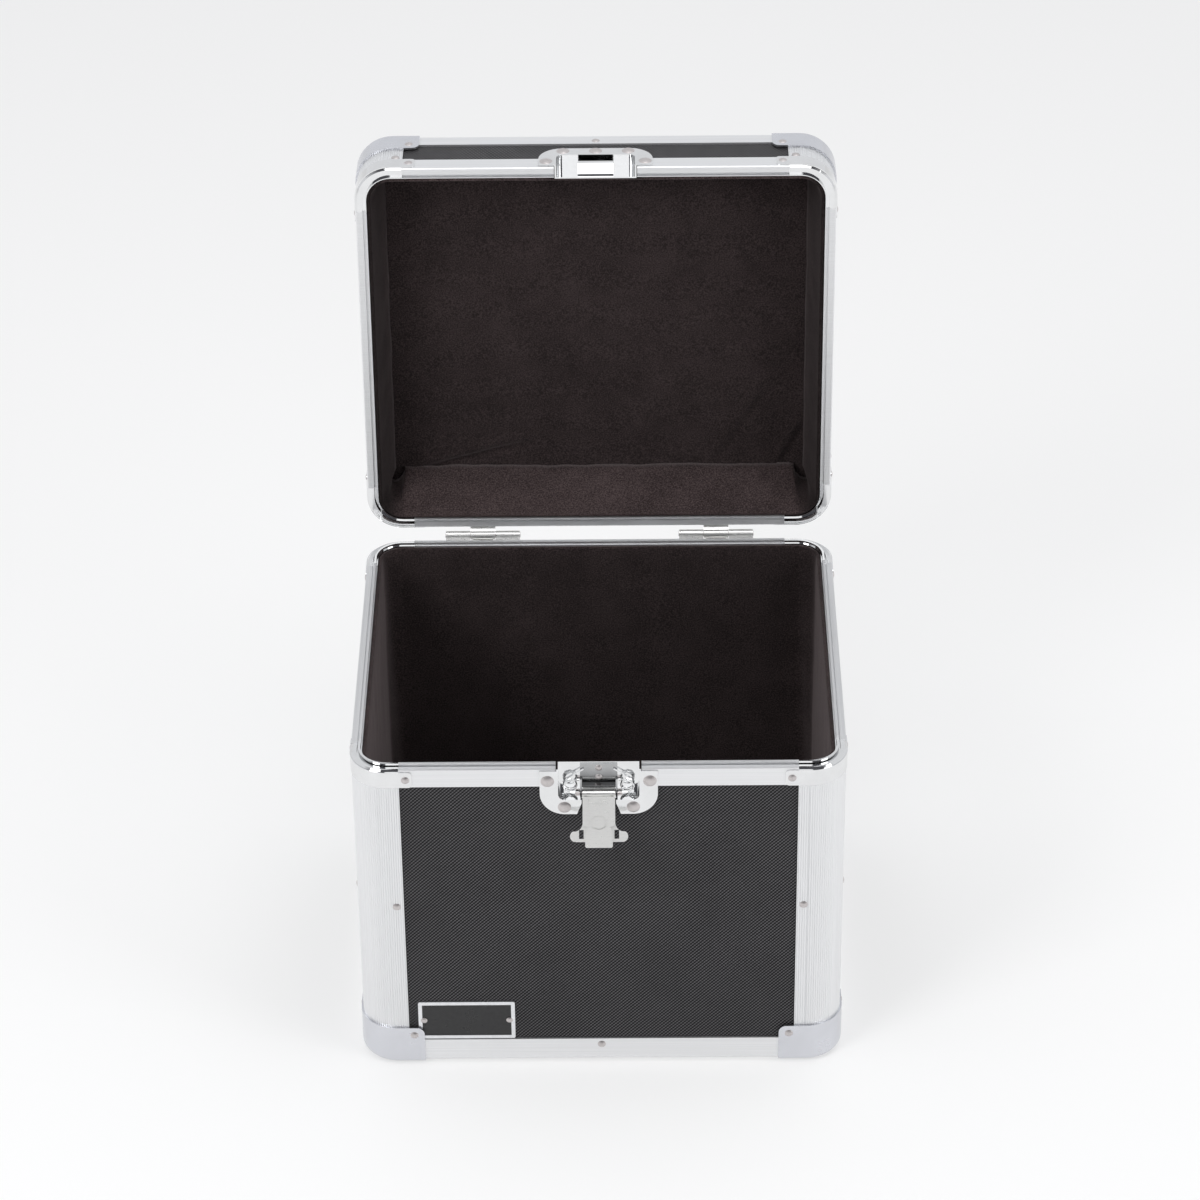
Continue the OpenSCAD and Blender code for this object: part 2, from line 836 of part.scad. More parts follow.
module body_rivets() {
  color(zinc) {
    for (i = [0 : 3]) wall_rivets(i, body_rivet_list(i));
    for (s = [-1, 1]) plate_place() translate([s * (plate_w / 2 - plate_rivet_in), -plate_t, 0])
      rivet(2.6, 0.9, plate_t + board_t - lining_gap);
    for (s = [-1, 1], p = leaf_rivet_places)
      translate([s * hinge_x + p[0], body_d / 2 + leaf_t, body_h - p[1]])
        mirror([0, 1, 0]) rivet(3.2, 1.2, leaf_t + board_in - lining_gap);
  }
}

// Name plate, bare
module plate_place() {
  translate([-body_w / 2 + plate_x + plate_w / 2, front_y + board_out, edge_top + plate_gap + plate_h / 2])
    children();
}

module plate_bores() {
  for (s = [-1, 1]) plate_place() translate([s * (plate_w / 2 - plate_rivet_in), 0, 0]) shank_bore();
}

module name_plate() {
  color(silver) difference() {
    plate_place() difference() {
      rotate([90, 0, 0]) linear_extrude(plate_t) rounded_rect(plate_w, plate_h, plate_r);
      translate([-plate_w / 2 + plate_frame, -plate_t - 1, -plate_h / 2 + plate_frame])
        cube([plate_w - 2 * plate_frame, 1.5, plate_h - 2 * plate_frame]);
    }
    plate_bores();
  }
}

// Body dish and what hangs in it
dish_places = [
  for (s = [-1, 1]) [s * dish_side_x, dish_side_w],
  for (s = [-1, 1]) [s * dish_low_x, dish_low_w]
];

module dish_bores() {
  for (p = dish_places) translate([p[0], front_y, body_h - p[1]]) shank_bore(30);
}

module base_bores() {
  for (w = [base_rivet_1, base_rivet_2]) translate([0, front_y + 10, body_h - w]) shank_bore(10);
}

module latch_dish() {
  color(chrome) difference() {
    translate([0, front_y, body_h]) mirror([0, 0, 1]) difference() {
      dish(dish_h, dish_top, pocket_h, rim_flange, pocket_rise);
      dish_layer(-dish_t - 1, skin + 1) polygon([
        [-notch_w / 2, pocket_h - dish_t - 0.5],
        [notch_w / 2, pocket_h - dish_t - 0.5],
        [notch_w / 2, pocket_h + 2],
        [notch_end_w / 2, dish_h + 1],
        [-notch_end_w / 2, dish_h + 1],
        [-notch_w / 2, pocket_h + 2]
      ]);
    }
    dish_bores();
    base_bores();
  }
}

module latch_dish_rivets() {
  color(zinc) {
    for (p = dish_places)
      translate([p[0], front_y - dish_t, body_h - p[1]])
        rivet(big_rivet_r, big_rivet_h, dish_t + board_in - lining_gap);
    for (w = [base_rivet_1, base_rivet_2])
      translate([0, front_y + pocket_d - latch_t, body_h - w]) rivet(2.7, 1, latch_t + dish_t);
  }
}

// Plate riveted to the back of the pocket, with two cheeks that carry the hinge rod
module latch_base() {
  slope = eye_r * 0.9;
  lip_top = -base_bend + 1 - (pocket_d - latch_t - base_lip) * 0.28;
  color(chrome) difference() {
    union() {
      translate([0, front_y, body_h]) {
        translate([-base_w / 2, pocket_d - latch_t, -base_bend]) cube([base_w, latch_t, base_bend - base_top]);
        along_x(base_w) polygon([
          [pocket_d, -base_bend],
          [pocket_d - latch_t, -base_bend + 1],
          [base_lip, lip_top],
          [base_lip, lip_top - latch_t]
        ]);
        translate([0, base_lip, lip_top - latch_t / 2]) rotate([0, 90, 0])
          cylinder(r = latch_t / 2, h = base_w, center = true);
        for (s = [-1, 1]) translate([s * (base_w - base_cheek_t) / 2, 0, 0]) along_x(base_cheek_t) polygon([
          [pocket_d, -base_bend],
          [pocket_d, -base_bend + 4.5],
          [pocket_d - latch_t, -base_bend + 4.5],
          [-rod_out, -rod_drop + slope],
          [-rod_out, -rod_drop],
          [-rod_out + slope, -rod_drop]
        ]);
      }
      for (s = [-1, 1]) translate([s * (base_w - base_cheek_t) / 2, rod_y, rod_z]) rotate([0, 90, 0])
        cylinder(r = eye_r, h = base_cheek_t, center = true);
    }
    translate([0, rod_y, rod_z]) eye_cut(base_w + 2);
    base_bores();
  }
}

module latch_rod() {
  color(zinc) translate([0, rod_y, rod_z]) rotate([0, 90, 0])
    cylinder(r = rod_r, h = 2 * (coil_x - lower_leg + 3), center = true);
}

module latch_spring(side) {
  color(chrome) mirror([side < 0 ? 1 : 0, 0, 0]) wire_tube(spring_path, wire_d);
}

// Arm plate rolled round the rod, with two rails that the hook plate slides in
module latch_arm() {
  color(chrome) hanging() difference() {
    union() {
      rotate([0, 90, 0]) cylinder(r = eye_r, h = arm_w, center = true);
      translate([-arm_w / 2, -latch_t / 2, 0]) cube([arm_w, latch_t, arm_len]);
      for (s = [-1, 1]) {
        translate([s * (arm_w / 2 - latch_t / 2) - latch_t / 2, -latch_t / 2, rail_at])
          cube([latch_t, latch_t / 2 + rail_y + rail_t, arm_len - rail_at]);
        translate([s * (arm_w / 2 - rail_w / 2) - rail_w / 2, rail_y, rail_at])
          cube([rail_w, rail_t, arm_len - rail_at]);
      }
    }
    eye_cut(arm_w + 2);
    translate([0, 10, cam_at]) rotate([90, 0, 0]) cylinder(r = 3 + rod_clear, h = 20);
  }
}

module latch_hook() {
  w = arm_w - 2 * latch_t - 2 * slide_gap - 0.5;
  slot_h = 2 * (cam_r + cam_play);
  slot_w = 2 * (cam_r + cam_e + cam_play);
  color(chrome) hanging() difference() {
    union() {
      translate([-w / 2, hook_gap, 6]) cube([w, latch_t, hook_len - 6]);
      translate([-w / 2, hook_gap, hook_len - 2.7]) cube([w, hook_d, 2.7]);
      translate([-w / 2 + 1, hook_gap + hook_d - latch_t, hook_len - hook_return])
        cube([w - 2, latch_t, hook_return]);
    }
    translate([0, 10, cam_at + cam_e]) rotate([90, 0, 0]) linear_extrude(20) {
      square([slot_w - slot_h, slot_h], center = true);
      for (s = [-1, 1]) translate([s * (slot_w - slot_h) / 2, 0]) circle(slot_h / 2);
    }
    translate([-3.5, -5, 7.4]) cube([7, 10, 2.3]);
    for (s = [-1, 1]) translate([s * w / 2, 0, hook_len]) rotate([0, 45, 0]) cube([1.3, 30, 1.3], center = true);
    for (s = [-1, 1]) translate([s * w / 2, 0, arm_len + 1.2]) rotate([90, 0, 0])
      cylinder(r = 1.4, h = 20, center = true);
  }
}

module wing_outline() {
  for (s = [-1, 1]) mirror([s < 0 ? 1 : 0, 0]) difference() {
    union() {
      translate([wing_x - 4.2, wing_near + 9.3]) circle(4.2, $fn = round_fn);
      translate([0, wing_near]) square([wing_x - 4.2, wing_far - wing_near]);
    }
    translate([wing_x - 3.2, wing_near - 0.6]) circle(6.2, $fn = round_fn);
    translate([11.6, wing_near + 4.4]) square([3.5, 6.7]);
  }
  circle(7);
  translate([-7, 0]) square([14, wing_far - 3]);
}

// Butterfly with its spacer, spindle and cam in one turning piece
module latch_butterfly() {
  color(chrome) hanging() translate([0, 0, cam_at]) {
    translate([0, -wing_off, 0]) rotate([90, 0, 0]) linear_extrude(wing_t) wing_outline();
    translate([0, -wing_off - 0.01, 0]) rotate([-90, 0, 0])
      cylinder(r = 5, h = wing_off - latch_t / 2 - slide_gap + 0.01);
    translate([0, -wing_off, 0]) rotate([-90, 0, 0]) cylinder(r = 3, h = wing_off + hook_gap + 0.01);
    translate([0, hook_gap, cam_e]) rotate([-90, 0, 0]) cylinder(r = cam_r, h = latch_t + 0.5);
  }
}

// Hinges
leaf_rivet_places = [for (x = [-1, 1], w = [knuckle_r + 7.5, 30]) [x * (hinge_w / 2 - 8), w]];

module leaf_bores(side) {
  for (s = [-1, 1], p = leaf_rivet_places)
    translate([s * hinge_x + p[0], body_d / 2, body_h + side * p[1]]) shank_bore(30);
}

// One leaf on the closed case: side -1 on the body, 1 on the lid
module leaf(side, spans, flange) {
  mirror([0, 0, side < 0 ? 1 : 0]) {
    translate([-hinge_w / 2, 0, knuckle_r + 0.8]) cube([hinge_w, leaf_t, leaf_h - knuckle_r - 0.8]);
    translate([-hinge_w / 2, -skin, flange + 0.3]) cube([hinge_w, skin + 0.01, leaf_h - flange - 0.3]);
    for (s = spans) translate([(s[0] + s[1]) / 2, 0, 0]) {
      along_x(s[1] - s[0]) polygon([
        [0, knuckle_r + 0.8],
        [0, knuckle_r + 4],
        [leaf_t, knuckle_r + 4],
        [hinge_off, knuckle_r - 0.1],
        [hinge_off, 0],
        [hinge_off - knuckle_r + 0.1, 0]
      ]);
      translate([0, hinge_off, 0]) rotate([0, 90, 0])
        cylinder(r = knuckle_r, h = s[1] - s[0], center = true);
    }
  }
}

middle_span = hinge_w / 6;
outer_spans = [[-hinge_w / 2, -middle_span - knuckle_gap], [middle_span + knuckle_gap, hinge_w / 2]];
inner_span = [[-middle_span, middle_span]];
stop_w = middle_span - 2;
stop_drop = knuckle_r + 4.4;
stop_gap = 0.3;

module pin_bores() {
  for (s = [-1, 1]) translate([s * hinge_x, hinge_y, body_h]) rotate([0, 90, 0])
    cylinder(r = pin_r + rod_clear, h = hinge_w + 2, center = true);
}

module hinge_body_leaves() {
  color(zinc) difference() {
    for (s = [-1, 1]) translate([s * hinge_x, body_d / 2, body_h]) leaf(-1, outer_spans, rim_flange);
    pin_bores();
    leaf_bores(-1);
  }
}

module hinge_pins() {
  color(zinc) for (s = [-1, 1]) translate([s * hinge_x, hinge_y, body_h]) rotate([0, 90, 0])
    cylinder(r = pin_r, h = hinge_w + 1, center = true);
}

module hinge_lid_leaves() {
  color(zinc) {
    difference() {
      opened() difference() {
        for (s = [-1, 1]) translate([s * hinge_x, body_d / 2, body_h]) leaf(1, inner_span, lid_rim_flange);
        leaf_bores(1);
      }
      pin_bores();
    }
    difference() {
      for (s = [-1, 1])
        translate([s * hinge_x - stop_w, body_d / 2 + leaf_t + stop_gap, body_h - stop_drop])
          cube([2 * stop_w, hinge_off - leaf_t - stop_gap + 1.5, stop_drop - pin_r - 0.6]);
      pin_bores();
    }
  }
}

// Lid
lid_places = [for (i = [0 : 3]) lid_rivet_list(i)];

module lid_wall(i) {
  color(laminate) lid() difference() {
    wall_board(i, lid_tray, lid_rim_cap, lid_places[i]);
    if (i == 0) {
      pocket_room(lid_tray, lid_pocket_h);
      lid_dish_bores();
    }
    if (i == 2) translate([0, 0, body_h + lid_h]) mirror([0, 0, 1]) leaf_bores(1);
  }
}

module lid_top_board() {
  color(laminate) lid() difference() {
    end_board();
    handle_bores();
  }
}

module lid_posts() {
  color(silver) lid() for (i = [0 : 3])
    post(i, lid_tray, lid_rim_cap, lid_places[(i + 3) % 4], lid_places[i]);
}

module lid_edges() {
  color(silver) lid() for (i = [0 : 3]) edge(i, lid_edge_flange, lid_places[i]);
}

module lid_rim() {
  color(silver) lid() difference() {
    for (i = [0 : 3]) straight_rim(i, lid_tray, lid_places[i]) lid_rim_profile(lid_rim_flange, 0.8);
    pocket_room(lid_tray, lid_pocket_h);
    lid_dish_bores();
    translate([0, 0, body_h + lid_h]) mirror([0, 0, 1]) leaf_bores(1);
  }
}

module lid_rim_corners() {
  color(chrome) lid() for (i = [0 : 3])
    rim_corner(i, lid_tray, lid_rim_flange, lid_rim_cap, lid_places[(i + 3) % 4], lid_places[i])
      lid_bend_profile();
}

module lid_ball_corners() {
  color(silver) lid() for (i = [0 : 3])
    ball_corner(i, lid_ball_h, lid_places[(i + 3) % 4], lid_places[i]);
}

module lid_lining() {
  color(velvet) lid() difference() {
    lining_ring(board_top + lining_t + 2 * lining_gap, lid_tray - 0.5);
    pocket_room(lid_tray, lid_pocket_h);
  }
}

module lid_top_pad() {
  color(velvet) lid() lining_floor();
}

module lid_rivets() {
  color(zinc) {
    lid() {
      for (i = [0 : 3]) wall_rivets(i, lid_places[i]);
      for (p = handle_rivet_places) translate([p[0], p[1], board_z - bracket_t])
        rotate([90, 0, 0]) rivet(3, 1.1, bracket_t + board_t - lining_gap);
    }
    opened() for (s = [-1, 1], p = leaf_rivet_places)
      translate([s * hinge_x + p[0], body_d / 2 + leaf_t, body_h + p[1]])
        mirror([0, 1, 0]) rivet(3.2, 1.2, leaf_t + board_in - lining_gap);
  }
}

// Lid dish with the raised catch that the hook pulls on
lid_dish_places = [
  for (x = [-lid_dish_top_x, 0, lid_dish_top_x]) [x, lid_dish_top_w],
  for (s = [-1, 1]) [s * dish_side_x, lid_dish_side_w]
];

module lid_dish_bores() {
  for (p = lid_dish_places) translate([p[0], front_y, lid_tray - p[1]]) shank_bore(30);
}

module lid_dish() {
  foot = catch_top - rod_drop;
  out = catch_at - rod_out;
  color(chrome) lid() difference() {
    translate([0, front_y, lid_tray + parting_gap]) mirror([0, 0, 1]) {
      dish(lid_dish_h, lid_dish_top, lid_pocket_h, lid_rim_flange, -pocket_rise - tongue_clear);
      along_x(catch_w) polygon([
        [pocket_d + 0.01, 3],
        [pocket_d + 0.01, 5.6],
        [out + latch_t, foot - 3.4],
        [out + latch_t, foot],
        [out, foot],
        [out, foot - 4],
        [pocket_d - 1.6, 3.6]
      ]);
    }
    lid_dish_bores();
  }
}

module lid_dish_rivets() {
  color(zinc) lid() for (p = lid_dish_places)
    translate([p[0], front_y - dish_t, lid_tray - p[1]])
      rivet(big_rivet_r, big_rivet_h, dish_t + board_in - lining_gap);
}

// Handle on the lid board: drawn in the tray of the lid, where the outside is towards -z
bracket_t = 2;
bracket_w = 26;
bracket_d = 42;
ear_t = 3;
ear_gap = 0.4;
ear_x = handle_arm_t / 2 + ear_gap + ear_t / 2;
handle_y = -handle_reach / 2;
handle_rivet_places = [
  for (s = [-1, 1], a = [-1, 1], b = [-1, 1]) [s * handle_x + a * 9.6, handle_y + b * 15.5]
];

module handle_bores() {
  for (p = handle_rivet_places) translate([p[0], p[1], 0]) rotate([90, 0, 0]) shank_bore(40);
}

module handle_brackets() {
  color(chrome) lid() difference() {
    for (s = [-1, 1]) translate([s * handle_x, handle_y, board_z]) {
      translate([-bracket_w / 2, -bracket_d / 2, -bracket_t]) cube([bracket_w, bracket_d, bracket_t]);
      for (e = [-1, 1]) translate([e * ear_x, 0, 0]) {
        translate([-ear_t / 2, -6, -pivot_h]) cube([ear_t, 12, pivot_h - bracket_t / 2]);
        translate([0, 0, -pivot_h]) rotate([0, 90, 0]) cylinder(r = 6, h = ear_t, center = true);
      }
    }
    for (s = [-1, 1]) translate([s * handle_x, handle_y, board_z - pivot_h]) rotate([0, 90, 0])
      cylinder(r = pivot_r + rod_clear, h = bracket_w, center = true);
    handle_bores();
  }
}

// Steel arms that turn in the brackets, each with its pivot
module handle_arms() {
  color(chrome) lid() for (s = [-1, 1]) translate([s * handle_x, handle_y, board_z - pivot_h]) {
    rotate([0, 90, 0]) cylinder(r = pivot_r, h = 2 * (ear_x + ear_t / 2) + 1.5, center = true);
    rotate([0, 90, 0]) cylinder(r = handle_arm_w / 2 - 0.5, h = handle_arm_t, center = true);
    translate([-handle_arm_t / 2, 0, -handle_arm_w / 2 + 1])
      cube([handle_arm_t, handle_reach, handle_arm_w - 2]);
    translate([0, handle_reach, 0]) rotate([0, 90, 0])
      cylinder(r = handle_arm_w / 2 - 1, h = handle_arm_t, center = true);
    translate([-s * (handle_arm_t / 2 + 3), handle_reach, 0]) rotate([0, 90, 0])
      cylinder(r = 3, h = 6.02, center = true);
  }
}

module handle_grip() {
  length = 2 * handle_x - handle_arm_t - 2 * 0.1;
  color([0.07, 0.07, 0.075]) lid() translate([0, handle_y + handle_reach, board_z - pivot_h])
    rotate([0, 90, 0]) difference() {
      rotate_extrude($fn = round_fn) polygon([
        [0, -length / 2],
        [grip_r - 2.5, -length / 2],
        [grip_r - 0.6, -length / 2 + 2.5],
        [grip_r - 1.6, -length / 2 + 9],
        [grip_r, -length / 4],
        [grip_r, length / 4],
        [grip_r - 1.6, length / 2 - 9],
        [grip_r - 0.6, length / 2 - 2.5],
        [grip_r - 2.5, length / 2],
        [0, length / 2]
      ]);
      for (s = [-1, 1]) translate([0, 0, s * length / 2]) cylinder(r = 3 + rod_clear, h = 14, center = true);
    }
}

front_board();
right_board();
back_board();
left_board();
bottom_board();
body_post(0);  // post_front_left
body_post(1);  // post_front_right
body_post(2);  // post_back_right
body_post(3);  // post_back_left
bottom_edge(0);  // bottom_edge_front
bottom_edge(1);  // bottom_edge_right
bottom_edge(2);  // bottom_edge_back
bottom_edge(3);  // bottom_edge_left
rim_front();
rim_side(1);  // rim_right
rim_side(2);  // rim_back
rim_side(3);  // rim_left
body_rim_corner(0);  // rim_corner_front_left
body_rim_corner(1);  // rim_corner_front_right
body_rim_corner(2);  // rim_corner_back_right
body_rim_corner(3);  // rim_corner_back_left
body_ball_corner(0);  // ball_corner_front_left
body_ball_corner(1);  // ball_corner_front_right
body_ball_corner(2);  // ball_corner_back_right
body_ball_corner(3);  // ball_corner_back_left
body_lining();
floor_pad();
body_rivets();
name_plate();
latch_dish();
latch_dish_rivets();
latch_base();
latch_rod();
latch_spring(-1);  // latch_spring_left
latch_spring(1);  // latch_spring_right
latch_arm();
latch_hook();
latch_butterfly();
hinge_body_leaves();
hinge_pins();
hinge_lid_leaves();
lid_wall(0);  // lid_front_board
lid_wall(1);  // lid_right_board
lid_wall(2);  // lid_back_board
lid_wall(3);  // lid_left_board
lid_top_board();
lid_posts();
lid_edges();
lid_rim();
lid_rim_corners();
lid_ball_corners();
lid_lining();
lid_top_pad();
lid_rivets();
lid_dish();
lid_dish_rivets();
handle_brackets();
handle_arms();
handle_grip();
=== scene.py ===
"""Record carrying case: materials, padded linings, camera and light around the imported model."""

import json
import math

import bpy
from mathutils import Matrix, Vector, noise


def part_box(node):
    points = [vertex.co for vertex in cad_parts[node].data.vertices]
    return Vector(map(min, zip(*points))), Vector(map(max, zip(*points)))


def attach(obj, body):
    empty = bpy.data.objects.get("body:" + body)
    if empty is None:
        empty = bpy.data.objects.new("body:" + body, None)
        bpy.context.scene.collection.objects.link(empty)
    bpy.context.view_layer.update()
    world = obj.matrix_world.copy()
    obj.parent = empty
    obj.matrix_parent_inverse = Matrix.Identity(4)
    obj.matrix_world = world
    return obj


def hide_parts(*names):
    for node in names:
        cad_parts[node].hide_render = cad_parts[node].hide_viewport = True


MM = 0.001

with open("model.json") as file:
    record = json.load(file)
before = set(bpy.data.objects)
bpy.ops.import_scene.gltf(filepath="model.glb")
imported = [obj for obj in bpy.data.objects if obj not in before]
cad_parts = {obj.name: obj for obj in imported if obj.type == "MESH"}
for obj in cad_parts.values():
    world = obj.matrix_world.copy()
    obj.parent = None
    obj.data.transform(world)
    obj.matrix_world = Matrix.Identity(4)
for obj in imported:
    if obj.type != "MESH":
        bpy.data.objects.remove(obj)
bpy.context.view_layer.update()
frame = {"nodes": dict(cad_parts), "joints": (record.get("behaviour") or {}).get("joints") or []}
nodes = frame["nodes"]

# Sizes of the case, in metres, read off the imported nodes
base_lo, base_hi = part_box("bottom_board")
SKIN = 1.5 * MM
CASE_W = base_hi.x - base_lo.x + 2 * SKIN
CASE_D = base_hi.y - base_lo.y + 2 * SKIN
CORNER_R = 28 * MM
LID_H = 63 * MM
joints = {j["name"]: j for j in frame["joints"]}
HINGE = Vector(joints["lid_hinge"]["pos_m"])
OPEN = math.radians(joints["lid_hinge"]["range_deg"][1])


# Materials


class Look:
    """A node material that is built up around one Principled shader."""

    def __init__(self, name, color, rough, metal=0.0):
        self.mat = bpy.data.materials.new(name)
        self.mat.use_nodes = True
        self.nodes = self.mat.node_tree.nodes
        self.links = self.mat.node_tree.links
        self.shader = self.nodes["Principled BSDF"]
        self.shader.inputs["Base Color"].default_value = (*color, 1)
        self.shader.inputs["Roughness"].default_value = rough
        self.shader.inputs["Metallic"].default_value = metal
        coord = self.nodes.new("ShaderNodeTexCoord")
        self.place = coord.outputs["Object"]

    def math(self, op, a, b=None, clamp=False):
        n = self.nodes.new("ShaderNodeMath")
        n.operation = op
        n.use_clamp = clamp
        for socket, value in zip(n.inputs, (a, b)):
            self.feed(socket, value)
        return n.outputs[0]

    def feed(self, socket, value):
        if value is None:
            return
        if isinstance(value, bpy.types.NodeSocket):
            self.links.new(value, socket)
        else:
            socket.default_value = value

    def split(self):
        n = self.nodes.new("ShaderNodeSeparateXYZ")
        self.links.new(self.place, n.inputs[0])
        return n.outputs

    def stretched(self, scale):
        n = self.nodes.new("ShaderNodeMapping")
        self.links.new(self.place, n.inputs["Vector"])
        n.inputs["Scale"].default_value = scale
        return n.outputs["Vector"]

    def noise(self, scale, detail=4, rough=0.55, place=None):
        n = self.nodes.new("ShaderNodeTexNoise")
        self.links.new(place or self.place, n.inputs["Vector"])
        n.inputs["Scale"].default_value = scale
        n.inputs["Detail"].default_value = detail
        n.inputs["Roughness"].default_value = rough
        return n.outputs["Fac"]

    def spread(self, value, low, high, a=0.3, b=0.7):
        n = self.nodes.new("ShaderNodeMapRange")
        for name, x in (
            ("Value", value),
            ("From Min", a),
            ("From Max", b),
            ("To Min", low),
            ("To Max", high),
        ):
            self.feed(n.inputs[name], x)
        return n.outputs[0]

    def mix(self, fac, a, b):
        n = self.nodes.new("ShaderNodeMix")
        n.data_type = "RGBA"
        self.feed(n.inputs[0], fac)
        for socket, c in ((n.inputs[6], a), (n.inputs[7], b)):
            self.feed(socket, c if isinstance(c, bpy.types.NodeSocket) else (*c, 1))
        return n.outputs[2]

    def color(self, value):
        self.links.new(value, self.shader.inputs["Base Color"])

    def roughness(self, value):
        self.links.new(value, self.shader.inputs["Roughness"])

    def bump(self, height, distance, strength=1.0):
        n = self.nodes.new("ShaderNodeBump")
        self.links.new(height, n.inputs["Height"])
        n.inputs["Distance"].default_value = distance
        n.inputs["Strength"].default_value = strength
        normal = self.shader.inputs["Normal"]
        if normal.is_linked:
            self.links.new(normal.links[0].from_socket, n.inputs["Normal"])
        self.links.new(n.outputs["Normal"], normal)


DIAMOND_PITCH = 3.0 * MM


def laminate(name, across, up):
    """Black laminate pressed with small diamonds, in rows along the diagonals of the board."""
    look = Look(name, (0.02, 0.019, 0.021), 0.5)
    look.shader.inputs["Specular IOR Level"].default_value = 0.2
    place = look.split()
    u, v = place[across], place[up]
    turn = 2 * math.pi / DIAMOND_PITCH
    rising = look.math("SINE", look.math("MULTIPLY", look.math("SUBTRACT", u, v), turn))
    falling = look.math("SINE", look.math("MULTIPLY", look.math("ADD", u, v), turn))
    lattice = look.math("ADD", rising, look.math("MULTIPLY", falling, 0.6))
    pattern = look.spread(lattice, 0.0, 1.0, -0.15, 0.65)
    worn = look.spread(look.noise(22), 0.85, 1.1)
    look.color(
        look.mix(
            look.math("MULTIPLY", pattern, worn, clamp=True),
            (0.002, 0.0018, 0.0022),
            (0.105, 0.102, 0.108),
        )
    )
    look.roughness(look.spread(look.noise(90), 0.42, 0.58))
    look.bump(pattern, 0.15 * MM, 0.6)
    look.bump(look.noise(900, 2), 0.03 * MM, 0.5)
    return look.mat


def metal(name, color, rough, grain, smudge=0.05, brushed=None, depth=0.02):
    """Metal with fine lines along one axis where it is brushed, and a faint uneven sheen."""
    look = Look(name, color, rough, 1.0)
    lines = look.noise(grain, 3, 0.6, look.stretched(brushed) if brushed else None)
    cloud = look.noise(14, 3)
    both = look.math("ADD", look.math("MULTIPLY", lines, 0.6), look.math("MULTIPLY", cloud, 0.4))
    look.roughness(look.spread(both, max(rough - smudge, 0.03), rough + smudge))
    shade = tuple(c * 0.93 for c in color)
    look.color(look.mix(look.spread(lines, 0.0, 1.0), shade, color))
    if depth:
        look.bump(lines, depth * MM, 0.5)
    return look.mat


def steel_with_painted_shade(name, lo, hi):
    """Bright steel in the pocket with painted shade and reflection: its colour darkens towards the
    bend; lo and hi are heights.
    """
    look = Look(name, (0.4, 0.4, 0.41), 0.14, 1.0)
    height = look.spread(look.split()[2], 0.0, 1.0, lo, hi)
    cloud = look.spread(look.noise(60, 3), 0.9, 1.1)
    shade = look.math("MULTIPLY", look.math("POWER", height, 0.8), cloud, clamp=True)
    # Painted shade and reflection: near black at the bend, bright steel at the top.
    look.color(look.mix(shade, (0.035, 0.036, 0.038), (0.42, 0.425, 0.43)))
    look.roughness(look.spread(look.noise(90), 0.1, 0.2))
    look.bump(look.noise(120, 3), 0.004 * MM, 0.5)
    return look.mat


NAP_LOW = (0.013, 0.009, 0.009)
NAP_HIGH = (0.05, 0.0365, 0.0365)


def velvet(name, shade=1.0, painted_side_shade=1.0):
    """Flocked charcoal lining with a brown cast, a soft sheen and a mottled nap.

    shade brightens it all, as painted light. The last argument is the share of that which is left
    on the side walls, as painted shade."""
    look = Look(name, (0.028, 0.021, 0.02), 0.95)
    look.shader.inputs["Sheen Weight"].default_value = 0.34 if painted_side_shade == 1.0 else 0.16
    look.shader.inputs["Sheen Roughness"].default_value = 0.45
    look.shader.inputs["Sheen Tint"].default_value = (0.62, 0.53, 0.53, 1)
    look.shader.inputs["Specular IOR Level"].default_value = 0.15
    nap = look.noise(900, 2, 0.6)
    brushed = look.noise(38, 5, 0.6)
    cloud = look.noise(9, 3)
    tone = look.math(
        "ADD",
        look.math("MULTIPLY", nap, 0.7),
        look.math(
            "ADD", look.math("MULTIPLY", brushed, 0.18), look.math("MULTIPLY", cloud, 0.12)
        ),
    )
    nap_mix = look.spread(tone, 0.0, 1.0, 0.4, 0.62)

    # Nap colour of the dye scaled by share: above 1 it is painted light, below 1 painted shade.
    def dye_and_light(share):
        return look.mix(nap_mix, [c * share for c in NAP_LOW], [c * share for c in NAP_HIGH])

    cloth = dye_and_light(shade)
    # Painted shade on the side walls, faded in over 14 mm towards each side of the case.
    if painted_side_shade != 1.0:
        across = look.math("ABSOLUTE", look.split()[0])
        start = CASE_W / 2 - 30 * MM
        side_shade_mask = look.spread(across, 0.0, 1.0, start, start + 14 * MM)
        cloth = look.mix(side_shade_mask, cloth, dye_and_light(shade * painted_side_shade))
    look.color(cloth)
    look.bump(nap, 0.25 * MM, 0.5)
    look.bump(brushed, 0.8 * MM, 0.35)
    return look.mat


def rubber(name):
    """Black grip rubber with a fine grain."""
    look = Look(name, (0.02, 0.02, 0.021), 0.6)
    grain = look.noise(700, 3)
    mottle = look.spread(grain, 0.0, 1.0)
    look.color(look.mix(mottle, (0.013, 0.013, 0.014), (0.032, 0.032, 0.034)))
    look.roughness(look.spread(look.noise(40), 0.5, 0.7))
    look.bump(grain, 0.12 * MM, 0.6)
    return look.mat


